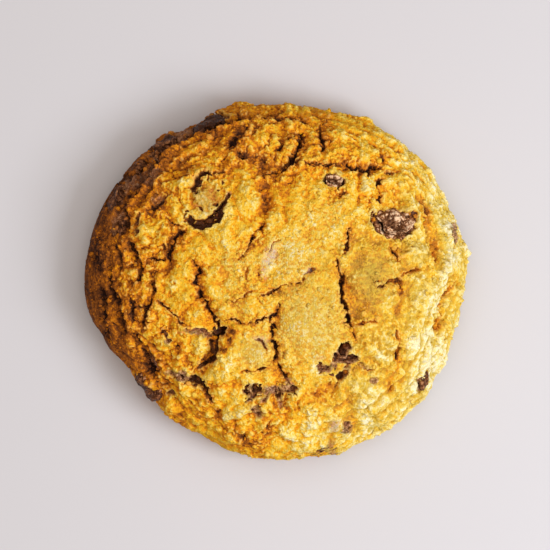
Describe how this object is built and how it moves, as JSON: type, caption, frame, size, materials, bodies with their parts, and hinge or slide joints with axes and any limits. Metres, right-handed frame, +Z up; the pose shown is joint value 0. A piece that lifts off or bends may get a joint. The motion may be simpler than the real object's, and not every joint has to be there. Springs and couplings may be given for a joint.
{
  "type": "chocolate chip cookie",
  "caption": "Thick domed round chocolate chip cookie with a cracked crumbly crust and chunks of chocolate in its top and wall.",
  "frame": {"origin": "middle of the cookie's outline on the plane it rests on", "axes": "+Z up out of the domed top; +X along the longest width"},
  "size_m": [0.0955, 0.0884, 0.0247],
  "materials": {
    "baked_dough": "matt, grainy and crumbly",
    "chocolate": "satin with a dusty bloom"
  },
  "bodies": {
    "root": {"dough": "baked_dough", "chocolate_right": "chocolate", "chocolate_upper_left": "chocolate", "chocolate_small_top": "chocolate", "chocolate_lower_right": "chocolate", "chocolate_lower_middle": "chocolate", "chocolate_bottom_right": "chocolate", "chocolate_bottom_left": "chocolate", "chocolate_left_low": "chocolate", "chocolate_left_hole": "chocolate", "chocolate_wall_right": "chocolate", "chocolate_wall_low_right": "chocolate", "chocolate_wall_low": "chocolate", "chocolate_rim_bottom": "chocolate", "chocolate_wall_left": "chocolate", "chocolate_rim_left": "chocolate", "chocolate_rim_upper": "chocolate", "chocolate_rim_top_left": "chocolate", "chocolate_rim_top": "chocolate", "chocolate_rim_low_left": "chocolate"}
  },
  "joints": []
}
